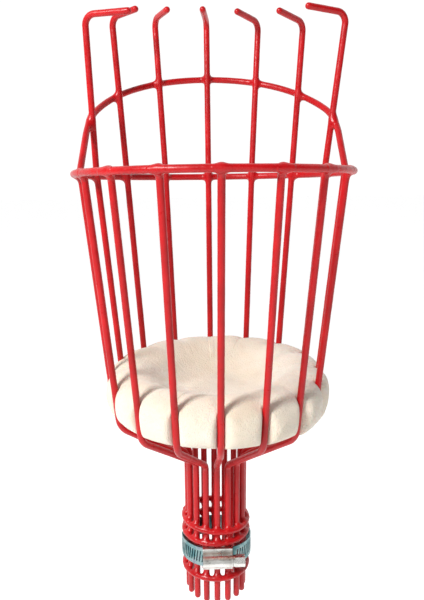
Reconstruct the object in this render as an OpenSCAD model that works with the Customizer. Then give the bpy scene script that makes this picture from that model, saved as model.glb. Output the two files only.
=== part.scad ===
// Fruit picker basket: a welded and dip-coated wire basket on a wire pole socket,
// with a foam pad on its floor and a worm-drive hose clamp round the socket.
// Millimetres. Origin at the centre of the socket's lower end, +Z up the pole,
// +Y towards the tall hooked tines.

/* [Wire] */
// Diameter of the coated basket wires
wire_d = 3.8; // [3.4:0.1:4.2]
// Diameter of the coated rim ring wire
rim_wire_d = 4.0; // [3.6:0.1:4.4]
// Diameter of the coated socket ring wires
socket_ring_d = 3.4; // [3.0:0.1:3.6]
// Depth that two crossing coated wires share at a weld
weld_sink = 1.2; // [0.8:0.1:1.4]

/* [Basket] */
// Height of the rim ring above the socket's lower end
rim_z = 264; // [255:1:272]
// How far the rim ring is tipped up at the front, in degrees
rim_tilt = 7.5; // [0:0.5:9]
// Radius of the circle of wires at the rim
rim_r = 73; // [70:0.5:76]
// Height where the sides turn into the floor
floor_z = 123; // [119:1:127]
// Radius of the circle of wires at the floor
floor_r = 60; // [58:0.5:62]
// Height where the floor turns down into the socket
neck_z = 94; // [91:1:97]
// Radius of the circle of wires in the pole socket
socket_r = 17.2; // [16.6:0.1:17.6]
// Bend radius between the sides and the floor
floor_bend = 12; // [8:1:14]
// Bend radius between the floor and the socket
neck_bend = 6; // [4:1:8]

/* [Tines] */
// Height of the tine tops
tine_z = 350; // [342:1:356]
// Bend radius at the foot of each hook
hook_bend = 6; // [4:1:8]
// Height of the back arch above the rim at its middle
arch_h = 51; // [46:1:58]

/* [Pad] */
// Height of the pad's underside
pad_z = 126.5; // [126:0.5:130]
// Thickness of the pad at its raised edge
pad_h = 24.5; // [22:0.5:28]
// Largest radius of the pad, between the wires
pad_r = 68; // [66:0.5:69]
// Depth of the hollow in the pad's top
pad_dish = 9; // [4:1:12]

/* [Hose clamp] */
// Height of the middle of the clamp band
clamp_z = 33; // [31:0.5:33]
// How far the clamp is tipped up at the front, in degrees
clamp_tilt = 3; // [0:0.5:3]
// Width of the band
band_w = 12.2; // [9:0.1:12.2]
// Thickness of the band
band_t = 0.7; // [0.6:0.1:0.8]
// Inner radius of the closed band
band_r = 19.8; // [19.8:0.1:20.2]
// Distance between two slots of the band
slot_pitch = 1.9; // [1.7:0.1:2.2]
// Length of the clamp's housing
housing_len = 18; // [16:0.5:19]

/* [Hidden] */
TINES = 7;
RIBS = 9;
WIRE_STEP = 360 / (TINES + RIBS);
$fn = 48;

// What each tine got when it was bent by hand: its kink at the rim, then its hook's length from
// the tine to its tip, rise above the horizontal, swing to the +X side and height above the others
TINE_KINK = [-3.5, 0, 2.5, 2.8, 2, 0, 2];
HOOK_LEN = [28.5, 23, 23, 24, 25, 26, 27.5];
HOOK_RISE = [2, 9, 10, 14, 12, 12, 6];
HOOK_SWING = [0, 0, 0, -8, -17, 0, 0];
TOP_EXTRA = [-1, 0, 1, 0, -1, -3, 0];

COATING = "firebrick";
FOAM = "antiquewhite";
STEEL = "silver";

floor_slope = atan2(floor_z - neck_z, floor_r - socket_r);
side_slope = atan2(rim_r - floor_r, rim_z - floor_z);
neck_turn = 90 - floor_slope;
floor_turn = 90 - floor_slope - side_slope;
neck_tangent = neck_bend * tan(neck_turn / 2);
floor_tangent = floor_bend * tan(floor_turn / 2);
floor_run = norm([floor_r - socket_r, floor_z - neck_z]) - neck_tangent - floor_tangent;
side_run = norm([rim_r - floor_r, rim_z - floor_z]) - floor_tangent;
kink_bend = 40;
weld_out = (wire_d + rim_wire_d) / 2 - weld_sink;

rim_ring_r = rim_r + weld_out + 0.1;
rim_ring_y = -0.9;
socket_ring_r = socket_r + (wire_d + socket_ring_d) / 2 - weld_sink;
SOCKET_RING_Z = [51, 43, 18.4];
SOCKET_RING_ROLL = [4, 0, 0];

INWARD = 0;
OUTWARD = 180;

// Direction of a wire from the basket's axis, with tine 1 and rib 1 on the -X side
function tine_angle(i) = 180 - WIRE_STEP * i;
function rib_angle(i) = 180 + WIRE_STEP * (i - 1);
// Height at which the tipped rim ring crosses a rib
function rib_top(i) = rim_z - rim_r * tan(rim_tilt) * sin(rib_angle(i));

// ---- Wires: each run or turn starts at its own origin along +Z and carries its children on ----

// A bead of coating, too small to see, over the place where a run meets a bend
module bead() {
    cylinder(d = wire_d + 0.04, h = 0.4, center = true);
}

module run(length) {
    cylinder(d = wire_d, h = length);
    translate([0, 0, length]) children();
}

module turn(radius, angle, side) {
    rotate([0, 0, side]) translate([-radius, 0, 0]) {
        rotate([90, 0, 0]) rotate_extrude(angle = angle) translate([radius, 0]) circle(d = wire_d);
        rotate([0, -angle, 0]) translate([radius, 0, 0]) rotate([0, 0, -side]) {
            bead();
            children();
        }
    }
    bead();
}

// The rounded end of a wire, closing a run that stops at its origin
module tip() {
    r = wire_d / 2;
    rotate_extrude() polygon(concat(
        [[0, -0.3], [r + 0.02, -0.3]],
        [for (a = [0:18:72]) [(r + 0.02) * cos(a), r * sin(a)]],
        [[0, r]]
    ));
}

// A wire from its rounded lower end, up the socket, out along the floor and up the side to the rim
module basket_wire(angle, top_run) {
    rotate([0, 0, angle]) translate([socket_r, 0, wire_d / 2]) {
        mirror([0, 0, 1]) tip();
        run(neck_z - neck_tangent - wire_d / 2)
            turn(neck_bend, neck_turn, OUTWARD)
            run(floor_run)
            turn(floor_bend, floor_turn, INWARD)
            run(top_run)
            children();
    }
}

module front_rib(i) {
    color(COATING) basket_wire(rib_angle(i), side_run + (rib_top(i) - rim_z) / cos(side_slope)) tip();
}

// A small bend outward or, if negative, inward; none at 0
module kink(angle) {
    if (angle == 0) children();
    else turn(kink_bend, abs(angle), angle > 0 ? OUTWARD : INWARD) children();
}

module back_tine(i) {
    lean = side_slope + TINE_KINK[i - 1];
    kink_tangent = kink_bend * tan(abs(TINE_KINK[i - 1]) / 2);
    hook_turn = 90 + lean - HOOK_RISE[i - 1];
    hook_tangent = hook_bend * tan(hook_turn / 2);
    tine_run = (tine_z + TOP_EXTRA[i - 1] - rim_z) / cos(lean) - kink_tangent - hook_tangent;
    color(COATING) basket_wire(tine_angle(i), side_run - kink_tangent)
        kink(TINE_KINK[i - 1])
        run(tine_run)
        turn(hook_bend, hook_turn, HOOK_SWING[i - 1])
        run(HOOK_LEN[i - 1] - hook_tangent - wire_d / 2)
        tip();
}

module ring(radius, diameter) {
    rotate_extrude() translate([radius, 0]) circle(d = diameter);
}

module rim_ring() {
    color(COATING) translate([0, rim_ring_y, rim_z]) rotate([-rim_tilt, 0, 0]) ring(rim_ring_r, rim_wire_d);
}

module socket_ring(k) {
    color(COATING) translate([0, 0, SOCKET_RING_Z[k]]) rotate([0, SOCKET_RING_ROLL[k], 0])
        ring(socket_ring_r, socket_ring_d);
}

// ---- Back arch: a wire swept from rim to rim behind the tines ----

ARCH_STEPS = 56;
ARCH_SIDES = 14;
ARCH_POWER = 0.65;
ARCH_FOOT = 2;
KINK_AT = [[0, 0], for (i = [TINES:-1:1]) [tine_angle(i), TINE_KINK[i - 1]], [180, 0]];

// How far the arch has stepped outward by angle t, from the ribs' tops to the tines' backs
function arch_out(t) = weld_out * (1 - cos(180 * min(t, 180 - t, WIRE_STEP) / WIRE_STEP)) / 2;
function arch_curve(t) =
    let (rise = (arch_h - ARCH_FOOT) * pow(max(sin(t), 0), ARCH_POWER) + ARCH_FOOT,
         r = rim_r + arch_out(t) + rise * tan(side_slope + lookup(t, KINK_AT)))
    [r * cos(t), r * sin(t), rim_z + rise];
// The steps crowd together at the two feet, where the arch is steepest
// Each end is a straight leg from the rim to the outermost tall wire, eased into the curve
function arch_leg(t) =
    let (foot = t < 90 ? 0 : 180, knee = t < 90 ? WIRE_STEP : 180 - WIRE_STEP, s = (t - foot) / (knee - foot))
    s >= 1 ? arch_curve(t) : arch_curve(foot) * (1 - s) + arch_curve(knee) * s;
function arch_point(t) =
    min(t, 180 - t) < 6 ? arch_leg(t) : (arch_leg(t - 6) + 2 * arch_leg(t) + arch_leg(t + 6)) / 4;
function arch_angle(k) = 90 - 90 * cos(180 * k / ARCH_STEPS) * (1.2 - 0.2 * pow(cos(180 * k / ARCH_STEPS), 2));
function unit(v) = v / norm(v);
ARCH_LINE = [for (k = [0:ARCH_STEPS]) arch_point(arch_angle(k))];

// Faces of a tube with closed ends, from its rings of points
function tube_faces(rings, sides) = concat(
    [[for (s = [0:sides - 1]) s]],
    [for (k = [0:rings - 2]) for (s = [0:sides - 1])
        let (a = k * sides + s, b = k * sides + (s + 1) % sides) [a, a + sides, b + sides, b]],
    [[for (s = [sides - 1:-1:0]) (rings - 1) * sides + s]]
);

module back_arch() {
    points = [
        for (k = [0:ARCH_STEPS])
            let (p = ARCH_LINE[k],
                 along = unit(ARCH_LINE[min(k + 1, ARCH_STEPS)] - ARCH_LINE[max(k - 1, 0)]),
                 out = unit([p.x, p.y, 0]),
                 u = unit(out - (out * along) * along),
                 v = cross(along, u))
            for (s = [0:ARCH_SIDES - 1])
                p + wire_d / 2 * (u * cos(360 * s / ARCH_SIDES) + v * sin(360 * s / ARCH_SIDES))
    ];
    color(COATING) polyhedron(points, tube_faces(ARCH_STEPS + 1, ARCH_SIDES));
}

// ---- Foam pad: a dished disc, grooved where each wire presses into its edge ----

pad_flat_r = 56;
pad_crest_r = 53;
pad_droop = 5;
groove_r = 2.4;
groove_inset = 0.8;

function half_ellipse(cx, cz, rx, rz, from, to, n) = [
    for (k = [0:n]) let (a = from + (to - from) * k / n) [cx + rx * cos(a), cz + rz * sin(a)]
];

// Half of the pad's section: its edge hangs a little over the wires and its top is hollow
module pad_profile() {
    edge_z = pad_z + 9;
    crest_z = pad_z + pad_h;
    polygon(concat(
        [[0, pad_z], [pad_flat_r, pad_z]],
        half_ellipse(pad_flat_r + 5, edge_z, pad_r - pad_flat_r - 5, edge_z - pad_z + pad_droop, -90, 0, 6),
        half_ellipse(pad_crest_r, edge_z, pad_r - pad_crest_r, pad_h - 9, 10, 90, 8),
        [for (k = [1:8]) let (t = k / 8)
            [pad_crest_r * (1 - t), crest_z - pad_dish * (1 - cos(180 * min(t * 1.6, 1))) / 2]]
    ));
}

module wire_groove(angle) {
    rotate([0, 0, angle]) translate([floor_r - groove_inset, 0, floor_z]) rotate([0, side_slope, 0])
        translate([0, 0, -10]) {
            cylinder(r = groove_r, h = pad_h + 20);
            translate([0, -groove_r, 0]) cube([20, 2 * groove_r, pad_h + 20]);
        }
}

module foam_pad() {
    color(FOAM) difference() {
        rotate_extrude() pad_profile();
        for (i = [0:TINES + RIBS - 1]) wire_groove(WIRE_STEP * i);
    }
}

// ---- Hose clamp: its housing faces -Y and its screw lies along X with the head at +X ----

layer_gap = 0.3;
tail_r = band_r + band_t + layer_gap;
thread_r = 2.8;
thread_gap = 0.3;
screw_y = -(tail_r + band_t + thread_gap + thread_r);
barrel_t = 0.6;
barrel_r = thread_r + 0.3 + barrel_t;
bulge = 1.6;
slot_w = 0.9;
slot_len = 7.4;
slot_lean = 8;
housing_t = 0.6;
wall_z = band_w / 2 + 0.1;
weld_tab = 0.1;

// Places the clamp's pieces, which are drawn about the clamp's own centre
module on_socket() {
    translate([0, 0, clamp_z]) rotate([-clamp_tilt, 0, 0]) children();
}

// Angles round the socket are counted from the housing, positive towards the screw head
TAIL_FROM = -104;
TAIL_TO = -13;
BAND_FIXED_END = 18;
BAND_FREE_END = 8;

module sector(from, to, radius) {
    steps = ceil((to - from) / 15);
    polygon(concat([[0, 0]], [
        for (k = [0:steps]) let (a = from + (to - from) * k / steps) [radius * sin(a), -radius * cos(a)]
    ]));
}

module arc_strip(inner, from, to, thickness = band_t) {
    intersection() {
        difference() {
            circle(r = inner + thickness);
            circle(r = inner);
        }
        sector(from, to, 2 * inner);
    }
}

// Slots cut through the band's thickness, one for each turn of the screw's thread
module band_slots(radius, from, to) {
    step = slot_pitch / radius * 180 / PI;
    for (a = [from:step:to])
        rotate([0, 0, a]) translate([0, -radius, 0]) rotate([0, slot_lean, 0])
            cube([slot_w, 5, slot_len], center = true);
}

module band_layer(from, to, radius) {
    linear_extrude(band_w, center = true) arc_strip(radius, from, to);
}

// The loop: its fixed end lies under the housing, and it comes round to the screw-head side,
// where it stands off the socket before it enters the housing above the fixed end.
// The fixed end widens into two tabs welded to the housing's side walls.
module clamp_band() {
    color(STEEL) on_socket() difference() {
        union() {
            band_layer(-180, BAND_FIXED_END, band_r);
            linear_extrude(2 * (wall_z + weld_tab), center = true) arc_strip(band_r, -14, 14);
            linear_extrude(band_w, center = true) intersection() {
                difference() {
                    union() {
                        circle(r = band_r + band_t);
                        translate([bulge, -0.6]) circle(r = band_r + band_t);
                    }
                    union() {
                        circle(r = band_r);
                        translate([bulge, -0.6]) circle(r = band_r);
                    }
                }
                sector(BAND_FREE_END + 18, 180, 3 * band_r);
            }
        }
        band_slots(band_r + 1, 34, 128);
    }
}

// What is cut away from a square strip's end to round it
module end_cut(radius, reach) {
    polygon(concat(
        [[0, reach], [-reach, reach], [-reach, -reach], [0, -reach]],
        [for (a = [270:-15:90]) [radius * cos(a), radius * sin(a)]]
    ));
}

// The slotted free end, which the screw draws through the housing and out over the loop
module clamp_tail() {
    end_r = band_w / 2 + 0.2;
    color(STEEL) on_socket() difference() {
        band_layer(TAIL_FROM - 2, TAIL_TO, tail_r);
        rotate([0, 0, TAIL_FROM + 18]) translate([0, -tail_r, 0]) rotate([90, 0, 0])
            linear_extrude(6, center = true) end_cut(end_r, 12);
        band_slots(tail_r, TAIL_FROM + 22, TAIL_TO - 4);
    }
}

// A pressed saddle with a barrel for the screw; its side walls hold the band's two edges
module housing_profile() {
    deck_y = tail_r + band_t + 0.25;
    difference() {
        union() {
            translate([band_r - 3, -wall_z - housing_t])
                square([deck_y + housing_t - band_r + 3, 2 * (wall_z + housing_t)]);
            translate([-screw_y, 0]) circle(r = barrel_r);
        }
        translate([band_r - 4, -wall_z]) square([deck_y - band_r + 4, 2 * wall_z]);
        translate([-screw_y, 0]) circle(r = barrel_r - barrel_t);
        translate([deck_y - 1, -thread_r]) square([-screw_y - deck_y + 1, 2 * thread_r]);
    }
}

module clamp_housing() {
    lip_r = band_r - 0.1;
    color(STEEL) on_socket() difference() {
        rotate([90, 0, -90]) linear_extrude(housing_len, center = true) housing_profile();
        cylinder(r = lip_r, h = 2 * band_w, center = true);
    }
}

module clamp_screw() {
    head_len = 6;
    head_flats = 6.4;
    collar_len = 1.1;
    shank_r = 2.1;
    inside = housing_len - 1.6;
    color(STEEL) on_socket() translate([housing_len / 2 + 0.3, screw_y, 0]) rotate([0, 90, 0]) {
        difference() {
            union() {
                cylinder(r = barrel_r - 0.2, h = collar_len);
                translate([0, 0, collar_len]) rotate([0, 0, 30])
                    cylinder(d = head_flats / cos(30), h = head_len, $fn = 6);
            }
            translate([-head_flats, -0.6, collar_len + head_len - 1.6])
                cube([2 * head_flats, 1.2, 2]);
        }
        translate([0, 0, -inside]) cylinder(r = shank_r, h = inside);
        for (k = [1:6]) translate([0, 0, -inside + 1 + k * slot_pitch])
            rotate_extrude() polygon([
                [shank_r - 0.2, -0.7], [thread_r, -0.25], [thread_r, 0.25], [shank_r - 0.2, 0.7]
            ]);
    }
}

for (i = [1:TINES])
    back_tine(i);
for (i = [1:RIBS])
    front_rib(i);
rim_ring();
back_arch();
socket_ring(0);  // socket_ring_upper
socket_ring(1);  // socket_ring_middle
socket_ring(2);  // socket_ring_lower
foam_pad();
clamp_band();
clamp_tail();
clamp_housing();
clamp_screw();
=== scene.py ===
"""Looks for the fruit picker basket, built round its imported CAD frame."""
import math

import bmesh
import bpy
import numpy as np
from mathutils import Matrix, Vector, noise


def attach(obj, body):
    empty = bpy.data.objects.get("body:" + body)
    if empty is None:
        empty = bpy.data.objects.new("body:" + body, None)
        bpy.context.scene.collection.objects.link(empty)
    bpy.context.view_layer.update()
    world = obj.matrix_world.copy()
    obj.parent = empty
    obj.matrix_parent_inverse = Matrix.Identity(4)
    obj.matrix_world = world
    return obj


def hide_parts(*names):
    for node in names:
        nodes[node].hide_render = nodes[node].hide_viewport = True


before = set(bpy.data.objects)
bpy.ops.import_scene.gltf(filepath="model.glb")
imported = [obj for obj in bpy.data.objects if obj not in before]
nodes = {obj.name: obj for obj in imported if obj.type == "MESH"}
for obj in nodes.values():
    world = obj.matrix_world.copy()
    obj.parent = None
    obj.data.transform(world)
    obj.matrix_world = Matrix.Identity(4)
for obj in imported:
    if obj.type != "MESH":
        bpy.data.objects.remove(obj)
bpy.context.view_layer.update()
SCENE = bpy.context.scene
MM = 0.001

# ---------------------------------------------------------------- sizes of the frame, in mm
# These repeat the driving dimensions of the CAD, so that the coated wires lie where its wires lie.

TINES, RIBS = 7, 9
STEP = 360 / (TINES + RIBS)
WIRE_R = 1.9
RIM_Z, RIM_R, RIM_TILT = 264, 73, 7.5
FLOOR_Z, FLOOR_R, NECK_Z, SOCKET_R = 123, 60, 94, 17.2
FLOOR_BEND, NECK_BEND, KINK_BEND, HOOK_BEND = 12, 6, 40, 6
TINE_Z = 350
TINE_KINK = [-3.5, 0, 2.5, 2.8, 2, 0, 2]
HOOK_LEN = [28.5, 23, 23, 24, 25, 26, 27.5]
HOOK_RISE = [2, 9, 10, 14, 12, 12, 6]
HOOK_SWING = [0, 0, 0, -8, -17, 0, 0]
TOP_EXTRA = [-1, 0, 1, 0, -1, -3, 0]
RIM_WIRE_R, WELD_OUT, RIM_RING_Y = 2.0, 2.7, -0.9
RIM_RING_R = RIM_R + WELD_OUT + 0.1
WELD_SINK = 1.2
SOCKET_WIRE_R = 1.7
SOCKET_RING_R = SOCKET_R + WIRE_R + SOCKET_WIRE_R - WELD_SINK
# Height of each socket ring and its roll in degrees
SOCKET_RINGS = {"upper": (51, 4), "middle": (43, 0), "lower": (18.4, 0)}
ARCH_H, ARCH_POWER, ARCH_FOOT = 51, 0.65, 2
ARCH_EASE = 6

rad = math.radians
FLOOR_SLOPE = math.atan2(FLOOR_Z - NECK_Z, FLOOR_R - SOCKET_R)
SIDE_SLOPE = math.atan2(RIM_R - FLOOR_R, RIM_Z - FLOOR_Z)
NECK_TURN = math.pi / 2 - FLOOR_SLOPE
FLOOR_TURN = math.pi / 2 - FLOOR_SLOPE - SIDE_SLOPE
NECK_TANGENT = NECK_BEND * math.tan(NECK_TURN / 2)
FLOOR_TANGENT = FLOOR_BEND * math.tan(FLOOR_TURN / 2)
FLOOR_RUN = math.hypot(FLOOR_R - SOCKET_R, FLOOR_Z - NECK_Z) - NECK_TANGENT - FLOOR_TANGENT
SIDE_RUN = math.hypot(RIM_R - FLOOR_R, RIM_Z - FLOOR_Z) - FLOOR_TANGENT
INWARD, OUTWARD = 0, 180


def tine_angle(i):
    return 180 - STEP * i


def rib_angle(i):
    return 180 + STEP * (i - 1)


# ---------------------------------------------------------------- materials


class Look:
    """A node material with shorthand for the few nodes the looks need."""

    def __init__(self, name, **inputs):
        self.mat = bpy.data.materials.new(name)
        self.mat.use_nodes = True
        self.tree = self.mat.node_tree
        self.shader = self.tree.nodes["Principled BSDF"]
        for key, value in inputs.items():
            self.shader.inputs[key.replace("_", " ")].default_value = value
        self.coord = self.tree.nodes.new("ShaderNodeTexCoord").outputs["Object"]

    def node(self, kind, **inputs):
        n = self.tree.nodes.new(kind)
        for key, value in inputs.items():
            self.feed(n.inputs[key.replace("_", " ")], value)
        return n

    def feed(self, socket, value):
        if isinstance(value, bpy.types.NodeSocket):
            self.tree.links.new(value, socket)
        else:
            socket.default_value = value

    def noise(self, scale, detail=3, rough=0.55, stretch=None):
        vector = self.coord
        if stretch:
            vector = self.node("ShaderNodeMapping", Vector=self.coord, Scale=stretch).outputs[0]
        return self.node(
            "ShaderNodeTexNoise", Vector=vector, Scale=scale, Detail=detail, Roughness=rough
        ).outputs["Fac"]

    def cells(self, scale):
        return self.node("ShaderNodeTexVoronoi", Vector=self.coord, Scale=scale).outputs["Distance"]

    def spread(self, value, low, high, from_low=0.3, from_high=0.7):
        n = self.node("ShaderNodeMapRange", Value=value, From_Min=from_low, From_Max=from_high,
                      To_Min=low, To_Max=high)
        return n.outputs["Result"]

    def ramp(self, value, stops):
        n = self.node("ShaderNodeValToRGB", Fac=value)
        e = n.color_ramp.elements
        while len(e) < len(stops):
            e.new(0.5)
        for item, (place, colour) in zip(e, stops):
            item.position, item.color = place, (*colour, 1)
        return n.outputs["Color"]

    def bump(self, height, depth, below=None):
        n = self.node("ShaderNodeBump", Height=height, Distance=depth, Strength=1.0)
        if below is not None:
            self.feed(n.inputs["Normal"], below)
        return n.outputs["Normal"]

    def done(self, colour, roughness, normal):
        self.feed(self.shader.inputs["Base Color"], colour)
        self.feed(self.shader.inputs["Roughness"], roughness)
        self.feed(self.shader.inputs["Normal"], normal)
        return self.mat


def coated_look():
    """Thick dipped plastic: glossy, a little wavy, with faint pits and scuffs."""
    k = Look("coated_wire", Specular_IOR_Level=0.32, Coat_Weight=0.12, Coat_Roughness=0.2)
    colour = k.ramp(k.noise(60, 4), [
        (0.30, (0.38, 0.002, 0.004)), (0.55, (0.48, 0.003, 0.006)), (0.75, (0.56, 0.006, 0.009))])
    waves = k.bump(k.noise(170, 2), 0.00045)
    grain = k.bump(k.noise(1500, 3), 0.00006, waves)
    return k.done(colour, k.spread(k.noise(240, 5), 0.26, 0.44), grain)


def foam_look():
    """Cream open-cell foam: matte, finely pored, with tan patches where it is handled."""
    k = Look("foam", Sheen_Weight=0.25, Sheen_Roughness=0.6, Specular_IOR_Level=0.2,
             Subsurface_Weight=0.12, Subsurface_Scale=0.004)
    colour = k.ramp(k.noise(16, 5, 0.6), [
        (0.25, (0.60, 0.47, 0.34)), (0.45, (0.76, 0.66, 0.53)), (0.7, (0.84, 0.77, 0.67))])
    soft = k.bump(k.noise(95, 4), 0.0009)
    pores = k.bump(k.spread(k.cells(1100), 0, 1, 0.05, 0.6), 0.00022, soft)
    return k.done(colour, k.spread(k.noise(300, 2), 0.85, 1.0), pores)


def zinc_look():
    """Zinc plate, rolled along the band, with blue-green to violet painted reflections in its colour."""
    k = Look("zinc_band", Metallic=1.0)
    # Painted reflections: the blue-green to violet tint stands in for what the band reflects, spread in
    # random patches by noise.
    colour = k.ramp(k.noise(130, 4, 0.7), [
        (0.28, (0.07, 0.17, 0.19)), (0.42, (0.12, 0.27, 0.29)), (0.55, (0.30, 0.42, 0.42)),
        (0.68, (0.24, 0.26, 0.33)), (0.80, (0.48, 0.52, 0.46))])
    rolled = k.bump(k.noise(1, 3, stretch=(120, 120, 5200)), 0.00006)
    dents = k.bump(k.noise(420, 3), 0.00012, rolled)
    return k.done(colour, k.spread(k.noise(220, 4), 0.24, 0.5), dents)


def steel_look():
    """Bright zinc-plated pressed steel, with fine draw lines and dull patches."""
    k = Look("clamp_steel", Metallic=1.0)
    colour = k.ramp(k.noise(150, 4), [
        (0.3, (0.50, 0.49, 0.46)), (0.5, (0.70, 0.69, 0.66)), (0.7, (0.82, 0.81, 0.78))])
    lines = k.bump(k.noise(1, 3, stretch=(150, 4200, 4200)), 0.00004)
    dents = k.bump(k.noise(350, 3), 0.0001, lines)
    return k.done(colour, k.spread(k.noise(260, 4), 0.20, 0.42), dents)


COATED, FOAM, ZINC, STEEL = coated_look(), foam_look(), zinc_look(), steel_look()


def paint(obj, material):
    obj.data.materials.clear()
    obj.data.materials.append(material)


def piece(name, verts, faces, material, slot, body, *replaced):
    """A smooth mesh from points in mm, riding on a body."""
    mesh = bpy.data.meshes.new(name)
    mesh.from_pydata([tuple(float(c) * MM for c in v) for v in verts], [], faces)
    mesh.validate()
    mesh.polygons.foreach_set("use_smooth", [True] * len(mesh.polygons))
    obj = bpy.data.objects.new(name, mesh)
    SCENE.collection.objects.link(obj)
    paint(obj, material)
    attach(obj, body)
    if replaced:
        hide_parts(*replaced)
    return obj


# ---------------------------------------------------------------- wires

CAP_ANGLES = (78, 60, 42, 22)
COAT_PACE = 0.16
SEED_PACE = 7.3


class Route:
    """A wire's centreline, laid run by run and bend by bend, as the real wire is bent."""

    def __init__(self, place, x, z):
        self.p = np.array(place, float)
        self.x, self.z = np.array(x, float), np.array(z, float)
        self.points = [self.p.copy()]

    def run(self, length, pace=4.0):
        n = max(2, int(length / pace))
        for k in range(1, n + 1):
            self.points.append(self.p + self.z * length * k / n)
        self.p = self.points[-1].copy()
        return self

    def turn(self, radius, angle, side, pace=rad(5)):
        """Bends through an angle towards a side, in degrees from straight in."""
        if angle < 1e-6:
            return self
        y = np.cross(self.z, self.x)
        u = -(math.cos(rad(side)) * self.x + math.sin(rad(side)) * y)
        centre = self.p + radius * u
        n = max(3, int(angle / pace))
        for k in range(1, n + 1):
            a = angle * k / n
            self.points.append(centre - radius * math.cos(a) * u + radius * math.sin(a) * self.z)
        spin = np.array(Matrix.Rotation(angle, 3, Vector(np.cross(self.z, u))))
        self.p, self.x, self.z = self.points[-1].copy(), spin @ self.x, spin @ self.z
        return self


def basket_route(angle):
    a = rad(angle)
    out = np.array([math.cos(a), math.sin(a), 0])
    r = Route(out * SOCKET_R + [0, 0, WIRE_R], out, (0, 0, 1))
    return (r.run(NECK_Z - NECK_TANGENT - WIRE_R).turn(NECK_BEND, NECK_TURN, OUTWARD)
            .run(FLOOR_RUN).turn(FLOOR_BEND, FLOOR_TURN, INWARD))


def rib_route(i):
    top = -RIM_R * math.tan(rad(RIM_TILT)) * math.sin(rad(rib_angle(i)))
    return basket_route(rib_angle(i)).run(SIDE_RUN + top / math.cos(SIDE_SLOPE)).points


def tine_route(i):
    kink, rise, swing = rad(TINE_KINK[i - 1]), rad(HOOK_RISE[i - 1]), HOOK_SWING[i - 1]
    lean = SIDE_SLOPE + kink
    kink_tangent = KINK_BEND * math.tan(abs(kink) / 2)
    hook_turn = math.pi / 2 + lean - rise
    hook_tangent = HOOK_BEND * math.tan(hook_turn / 2)
    up = (TINE_Z + TOP_EXTRA[i - 1] - RIM_Z) / math.cos(lean) - kink_tangent - hook_tangent
    r = basket_route(tine_angle(i)).run(SIDE_RUN - kink_tangent)
    r.turn(KINK_BEND, abs(kink), OUTWARD if kink > 0 else INWARD).run(up)
    r.turn(HOOK_BEND, hook_turn, swing).run(HOOK_LEN[i - 1] - hook_tangent - WIRE_R, 2.0)
    return r.points


def tube(points, radius, seed, closed=False, sides=20, waver=0.05):
    """Points and faces of a coated wire: round, with a slightly uneven coat and rounded ends."""
    points = np.array(points, float)
    n = len(points)
    ahead = np.roll(points, -1, 0) - points
    if closed:
        along = ahead + np.roll(ahead, 1, 0)
    else:
        along = np.vstack([ahead[:1], ahead[1:-1] + ahead[:-2], ahead[-2:-1]])
    along /= np.linalg.norm(along, axis=1)[:, None]
    side = np.cross(along[0], (0.3, 0.2, 1.0))
    side /= np.linalg.norm(side)
    rings, verts = [], []
    total = np.concatenate([[0], np.cumsum(np.linalg.norm(np.diff(points, axis=0), axis=1))])

    def add(place, u, v, r):
        rings.append(len(verts))
        for s in range(sides):
            a = 2 * math.pi * s / sides
            verts.append(place + r * (math.cos(a) * u + math.sin(a) * v))

    for k in range(n):
        side = side - along[k] * (side @ along[k])
        side /= np.linalg.norm(side)
        up = np.cross(along[k], side)
        coat = noise.noise(Vector((total[k] * COAT_PACE, seed * SEED_PACE, 0))) * waver
        r = radius + coat
        if not closed and k == 0:
            for a in CAP_ANGLES:
                add(points[0] - along[0] * r * math.sin(rad(a)), side, up, r * math.cos(rad(a)))
        add(points[k], side, up, r)
        if not closed and k == n - 1:
            for a in reversed(CAP_ANGLES):
                add(points[k] + along[k] * r * math.sin(rad(a)), side, up, r * math.cos(rad(a)))
    faces = []
    count = len(rings)
    for k in range(count if closed else count - 1):
        a, b = rings[k], rings[(k + 1) % count]
        shift = 0
        if closed and k == count - 1:
            gap = [np.linalg.norm(verts[b + s] - verts[a]) for s in range(sides)]
            shift = int(np.argmin(gap))
        for s in range(sides):
            t = (s + 1) % sides
            faces.append((a + s, a + t, b + (t + shift) % sides, b + (s + shift) % sides))
    if not closed:
        faces.append(tuple(range(sides - 1, -1, -1)))
        faces.append(tuple(rings[-1] + s for s in range(sides)))
    return verts, faces


def ring_route(radius, centre, tilt_x, tilt_y, n=120):
    turn = np.array(Matrix.Rotation(rad(tilt_y), 3, "Y") @ Matrix.Rotation(rad(tilt_x), 3, "X"))
    t = np.linspace(0, 2 * math.pi, n, endpoint=False)
    flat = np.stack([radius * np.cos(t), radius * np.sin(t), 0 * t], -1)
    return flat @ turn.T + centre


def arch_curve(t):
    kinks_at = [0] + [tine_angle(i) for i in range(TINES, 0, -1)] + [180]
    kinks = [0] + TINE_KINK[::-1] + [0]
    rise = (ARCH_H - ARCH_FOOT) * max(math.sin(rad(t)), 0) ** ARCH_POWER + ARCH_FOOT
    step = WELD_OUT * (1 - math.cos(math.pi * min(t, 180 - t, STEP) / STEP)) / 2
    r = RIM_R + step + rise * math.tan(SIDE_SLOPE + rad(np.interp(t, kinks_at, kinks)))
    return np.array((r * math.cos(rad(t)), r * math.sin(rad(t)), RIM_Z + rise))


def arch_leg(t):
    """The arch with a straight leg from each foot to the outermost tall wire."""
    foot, knee = (0, STEP) if t < 90 else (180, 180 - STEP)
    s = (t - foot) / (knee - foot)
    return arch_curve(t) if s >= 1 else arch_curve(foot) * (1 - s) + arch_curve(knee) * s


def arch_route(n=110):
    """The arch's centreline, with each leg eased into the curve."""
    out = []
    for k in range(n + 1):
        c = math.cos(math.pi * k / n)
        t = 90 - 90 * c * (1.2 - 0.2 * c * c)
        if min(t, 180 - t) < ARCH_EASE:
            out.append(arch_leg(t))
        else:
            out.append((arch_leg(t - ARCH_EASE) + 2 * arch_leg(t) + arch_leg(t + ARCH_EASE)) / 4)
    return np.array(out)


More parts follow.
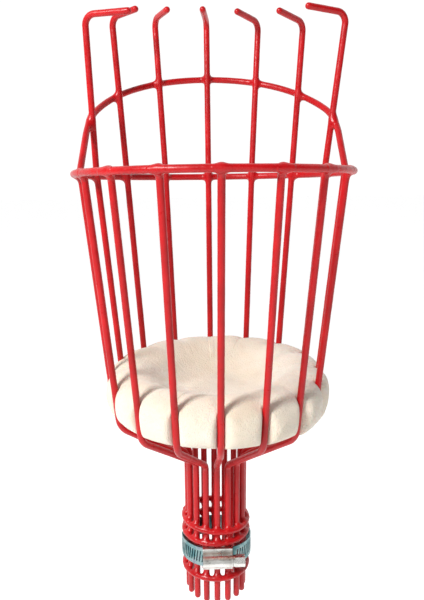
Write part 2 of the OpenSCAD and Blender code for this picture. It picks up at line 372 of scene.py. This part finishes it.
ROUTES = {}
for i in range(1, TINES + 1):
    ROUTES[f"back_tine_{i}"] = np.array(tine_route(i))
for i in range(1, RIBS + 1):
    ROUTES[f"front_rib_{i}"] = np.array(rib_route(i))
ARCH = arch_route()
RIM = ring_route(RIM_RING_R, (0, RIM_RING_Y, RIM_Z), -RIM_TILT, 0, 240)
SOCKET = {k: ring_route(SOCKET_RING_R, (0, 0, z), 0, roll) for k, (z, roll) in SOCKET_RINGS.items()}


def make_wires():
    for seed, (name, points) in enumerate(ROUTES.items()):
        piece(f"{name}_coated", *tube(points, WIRE_R, seed), COATED, "coated_wire", "basket", name)
    piece("back_arch_coated", *tube(ARCH, WIRE_R, 31), COATED, "coated_wire", "basket", "back_arch")
    piece("rim_ring_coated", *tube(RIM, RIM_WIRE_R, 32, True), COATED, "coated_wire", "basket",
          "rim_ring")
    for seed, (where, points) in enumerate(SOCKET.items()):
        piece(f"socket_ring_{where}_coated", *tube(points, SOCKET_WIRE_R, 40 + seed, True),
              COATED, "coated_wire", "basket", f"socket_ring_{where}")


# ---------------------------------------------------------------- welds under the coating

NEAR_END = 9
NO_END = 99
PROUD = 0.02
HALVINGS = 18


def sphere_net(level):
    """Points and faces of an even net on a unit sphere."""
    bm_mesh = bpy.data.meshes.new("net")
    bm = bmesh.new()
    bmesh.ops.create_icosphere(bm, subdivisions=level, radius=1.0)
    bm.to_mesh(bm_mesh)
    bm.free()
    verts = np.array([v.co[:] for v in bm_mesh.vertices])
    faces = [tuple(p.vertices) for p in bm_mesh.polygons]
    bpy.data.meshes.remove(bm_mesh)
    return verts, faces


def nearest(a, b):
    """Where two centrelines come closest: both points and both directions."""
    d = np.linalg.norm(a[:, None] - b[None], axis=2)
    i, j = np.unravel_index(np.argmin(d), d.shape)

    def heading(c, k):
        v = c[min(k + 1, len(c) - 1)] - c[max(k - 1, 0)]
        return v / np.linalg.norm(v)

    u, v = heading(a, i), heading(b, j)
    p, q = a[i], b[j]
    w = p - q
    den = 1 - (u @ v) ** 2
    s = ((u @ v) * (v @ w) - (u @ w)) / den
    t = ((v @ w) - (u @ v) * (u @ w)) / den
    return p + s * u, u, q + t * v, v


def weld(a, ra, b, rb, net, fillet, reach):
    """The coat's smooth web where two wires cross: rays from the crossing out to a blended skin.

    The first wire may end at the crossing, and the web then rounds over its end.
    """
    p, u, q, v = nearest(a, b)
    rays = net[0]
    centre = (p + q) / 2
    end = float((a[-1] - p) @ u)
    end = max(end, 0) if end < NEAR_END else NO_END

    def skin(points):
        da, db = points - p, points - q
        along = np.minimum(da @ u, end)
        ga = np.linalg.norm(da - along[:, None] * u, axis=1) - ra
        gb = np.sqrt(np.maximum((db ** 2).sum(1) - (db @ v) ** 2, 0)) - rb
        mix = np.maximum(fillet - np.abs(ga - gb), 0) / fillet
        return np.minimum(ga, gb) - mix ** 2 * fillet / 4 + PROUD

    low, high = np.zeros(len(rays)), np.full(len(rays), reach)
    for _ in range(HALVINGS):
        mid = (low + high) / 2
        inside = skin(centre + rays * mid[:, None]) < 0
        low, high = np.where(inside, mid, low), np.where(inside, high, mid)
    return centre + rays * low[:, None]


def make_welds(name, pairs, level, fillet, reach):
    net = sphere_net(level)
    verts, faces = [], []
    for a, ra, b, rb in pairs:
        start = len(verts)
        verts.extend(weld(a, ra, b, rb, net, fillet, reach))
        faces.extend(tuple(k + start for k in f) for f in net[1])
    piece(name, verts, faces, COATED, "coated_wire", "basket")


def make_all_welds():
    wires = list(ROUTES.values())
    tines = [ROUTES[f"back_tine_{i}"] for i in range(1, TINES + 1)]
    make_welds("rim_welds", [(w, WIRE_R, RIM, RIM_WIRE_R) for w in wires], 4, 3.4, 6.0)
    make_welds("arch_welds", [(w, WIRE_R, ARCH, WIRE_R) for w in tines], 4, 3.2, 6.0)
    make_welds("socket_welds", [(w, WIRE_R, ring, SOCKET_WIRE_R)
                                for ring in SOCKET.values() for w in wires], 3, 2.6, 4.2)


# ---------------------------------------------------------------- foam pad

# One lobe between each two wires, counterclockwise from the right: how far out and how far down it hangs
PAD_LOBE_R = [67.5, 69.5, 70, 68.5, 67, 66.5, 66, 65.5, 64.5, 64, 65, 65.5, 66.5, 66, 67, 67.5]
PAD_LOBE_DROOP = [7.5, 7, 5, 3, 2, 2, 2, 1, 1, 0.5, 0.5, 0, 0.5, 1.5, 3.5, 6.5]
# Distances of the pad's columns from a wire, closer together where the wire presses in
BESIDE_WIRE = [0, 0.7, 1.3, 1.75, 2.05, 2.35, 2.8, 3.4, 4.2, 5.3, 6.7, 8.3, 10.0, 11.8]
PAD_GROOVE_AT = 63
PAD_BASE_Z, PAD_EDGE_Z, PAD_CREST_Z = 126.6, 137.0, 151.8
PAD_UNDER_R, PAD_MID_R, PAD_CREST_R = 53, 56.0, 50.0
PAD_DISH = 14.0
GROOVE_R, GROOVE_GAP = 2.1, 0.15
BULGE, BULGE_PACE = 9.0, 3.4
CUT_BLEND = 2.6
PULL_DOWN, PUFF_UP, PULL_WIDTH = 0.8, 0.3, 4.5


def wire_r_at(z):
    """Radius of the circle of wires at height z, over the bend between side and floor."""
    side = FLOOR_R + (z - FLOOR_Z) * math.tan(SIDE_SLOPE)
    floor = FLOOR_R + (z - FLOOR_Z) / math.tan(FLOOR_SLOPE)
    blend = 6
    mix = np.maximum(blend - np.abs(side - floor), 0) / blend
    return np.minimum(side, floor) - mix ** 2 * blend / 4


def pad_columns():
    """Each column's angle, its lobe and its distance from the nearer wire."""
    half = [math.degrees(s / PAD_GROOVE_AT) for s in BESIDE_WIRE]
    out = []
    for w in range(TINES + RIBS):
        for k, a in enumerate(half):
            out.append((w * STEP + a, w, BESIDE_WIRE[k]))
        for k in range(len(half) - 1, 0, -1):
            out.append(((w + 1) * STEP - half[k], w, BESIDE_WIRE[k]))
    return out


def pad_section(lobe_r, droop, n_under=14, n_side=40, n_top=34):
    """Half of the pad's section from the middle of its underside to the middle of its top."""
    under = [(r, PAD_BASE_Z) for r in np.linspace(0.5, PAD_UNDER_R, n_under)]
    side = []
    for a in np.linspace(-90, 90, n_side):
        c, s = math.cos(rad(a)), math.sin(rad(a))
        if a < 0:
            reach = PAD_EDGE_Z - PAD_BASE_Z + droop
            r = PAD_MID_R + (lobe_r - PAD_MID_R) * abs(c) ** 0.75
            z = PAD_EDGE_Z - reach * abs(s) ** 1.1
        else:
            blend_r = PAD_MID_R + (PAD_CREST_R - PAD_MID_R) * s ** 2
            r = blend_r + (lobe_r - blend_r) * abs(c) ** 1.05
            z = PAD_EDGE_Z + (PAD_CREST_Z - PAD_EDGE_Z) * s ** 0.95
        side.append((r, z))
    top = []
    for k in range(1, n_top + 1):
        u = k / n_top
        r = PAD_CREST_R * (1 - u) + 0.3 * u
        sink = PAD_DISH * (1 - math.cos(math.pi * min(u * 1.45, 1))) / 2
        top.append((r, PAD_CREST_Z - sink))
    return np.array(under + side + top)


def pressed(r, z, beside):
    """The section where a wire holds it in: a groove at the wire, bulging out beside it."""
    limit = wire_r_at(z) - GROOVE_GAP
    if beside < GROOVE_R:
        limit = limit - math.sqrt(GROOVE_R ** 2 - beside ** 2)
    else:
        limit = limit + BULGE * (1 - math.exp(-(beside - GROOVE_R) / BULGE_PACE))
    mix = np.maximum(CUT_BLEND - np.abs(r - limit), 0) / CUT_BLEND
    cut = np.minimum(r, limit) - mix ** 2 * CUT_BLEND / 4
    new_r = np.where(r > 40, cut, r)
    pull = math.exp(-((beside / PULL_WIDTH) ** 2))
    rim_zone = np.clip((new_r - 40) / 14, 0, 1) * np.clip((z - 138) / 6, 0, 1)
    return new_r, z - PULL_DOWN * pull * rim_zone + PUFF_UP * (1 - pull) * rim_zone


def uneven(points, r, z, angle, beside):
    """Hand-cut unevenness, kept out of the grooves that the wires lie in."""
    out = np.array([math.cos(angle), math.sin(angle), 0.6])
    for k, p in enumerate(points):
        broad = noise.noise(Vector(p) * 0.045 + Vector((3.1, 0.7, 5.2)))
        fine = noise.noise(Vector(p) * 0.16)
        if beside > 2.2:
            weight = min(1, (beside - 2.2) / 3) * min(1, r[k] / 20)
            points[k] = p + out * (0.9 * broad + 0.25 * fine) * weight
        elif z[k] > 140 and r[k] < 54:
            points[k][2] += 0.6 * broad + 0.15 * fine
    return points


def make_foam():
    grid = []
    for angle, w, beside in pad_columns():
        section = pad_section(PAD_LOBE_R[w], PAD_LOBE_DROOP[w])
        r, z = pressed(section[:, 0], section[:, 1], beside)
        a = rad(angle)
        points = np.stack([r * math.cos(a), r * math.sin(a), z], -1)
        grid.append(uneven(points, r, z, a, beside))
    n, m = len(grid), len(grid[0])
    verts = [p for column in grid for p in column]
    faces = []
    for c in range(n):
        d = (c + 1) % n
        for k in range(m - 1):
            faces.append((c * m + k, d * m + k, d * m + k + 1, c * m + k + 1))
    faces.append(tuple(c * m for c in range(n - 1, -1, -1)))
    faces.append(tuple(c * m + m - 1 for c in range(n)))
    pad = piece("foam_pad_cushion", verts, faces, FOAM, "foam", "pad", "foam_pad")


# ---------------------------------------------------------------- camera, light and floor


def make_camera():
    """In front of the basket, a little above its rim, looking down into it."""
    turn = Matrix.Rotation(rad(3.27), 3, "Z")
    yaw, pitch, roll = rad(5.82), rad(15.55), rad(-0.38)
    above_rim = 0.04103
    place = turn @ Vector((-0.04287, -0.40658, 0)) + Vector((0, 0, RIM_Z * MM + above_rim))
    forward = turn @ Vector((math.sin(yaw) * math.cos(pitch), math.cos(yaw) * math.cos(pitch),
                             -math.sin(pitch)))
    data = bpy.data.cameras.new("camera")
    data.sensor_width = 36
    data.lens = 43.99
    data.clip_start, data.clip_end = 0.01, 50
    cam = bpy.data.objects.new("camera", data)
    SCENE.collection.objects.link(cam)
    cam.rotation_mode = "QUATERNION"
    cam.location = place
    look = forward.to_track_quat("-Z", "Y").to_matrix()
    cam.rotation_quaternion = (look @ Matrix.Rotation(roll, 3, "Z")).to_quaternion()
    SCENE.camera = cam


def area_light(name, place, aim, size, power):
    data = bpy.data.lights.new(name, "AREA")
    data.shape, data.size, data.energy = "DISK", size, power
    light = bpy.data.objects.new(name, data)
    light.location = place
    light.rotation_mode = "QUATERNION"
    light.rotation_quaternion = (Vector(aim) - Vector(place)).to_track_quat("-Z", "Y")
    SCENE.collection.objects.link(light)


def make_world():
    """A white studio that is bright behind the basket and dim on the camera's side."""
    world = bpy.data.worlds.new("studio")
    world.use_nodes = True
    tree = world.node_tree
    heading = tree.nodes.new("ShaderNodeSeparateXYZ")
    tree.links.new(tree.nodes.new("ShaderNodeTexCoord").outputs["Generated"], heading.inputs[0])
    fade = tree.nodes.new("ShaderNodeMapRange")
    fade.interpolation_type = "SMOOTHSTEP"
    fade.inputs["From Min"].default_value, fade.inputs["From Max"].default_value = -0.3, 0.6
    fade.inputs["To Min"].default_value, fade.inputs["To Max"].default_value = 0.12, 1.05
    tree.links.new(heading.outputs["Y"], fade.inputs["Value"])
    back = tree.nodes["Background"]
    back.inputs["Color"].default_value = (1, 1, 1, 1)
    tree.links.new(fade.outputs["Result"], back.inputs["Strength"])
    SCENE.world = world


def make_floor():
    """A pale floor that glows a little, well below the basket."""
    mesh = bpy.data.meshes.new("floor")
    s, z = 6.0, -0.55
    mesh.from_pydata([(-s, -s, z), (s, -s, z), (s, s, z), (-s, s, z)], [], [(0, 1, 2, 3)])
    floor = bpy.data.objects.new("floor", mesh)
    SCENE.collection.objects.link(floor)
    mat = bpy.data.materials.new("floor")
    mat.use_nodes = True
    b = mat.node_tree.nodes["Principled BSDF"]
    b.inputs["Base Color"].default_value = (0.95, 0.95, 0.95, 1)
    b.inputs["Roughness"].default_value = 0.9
    b.inputs["Emission Color"].default_value = (1, 1, 1, 1)
    b.inputs["Emission Strength"].default_value = 0.5
    mesh.materials.append(mat)


def make_stage():
    SCENE.view_settings.view_transform = "Standard"
    make_world()
    make_floor()
    area_light("key", (-0.75, -0.75, 0.95), (0, 0, 0.18), 0.4, 21)
    area_light("fill", (0.3, -1.2, 0.5), (0, 0, 0.2), 0.8, 1.5)


make_camera()
make_stage()
make_wires()
make_all_welds()
make_foam()
for name in ("clamp_band", "clamp_tail"):
    paint(nodes[name], ZINC)
for name in ("clamp_housing", "clamp_screw"):
    paint(nodes[name], STEEL)

bpy.context.view_layer.update()
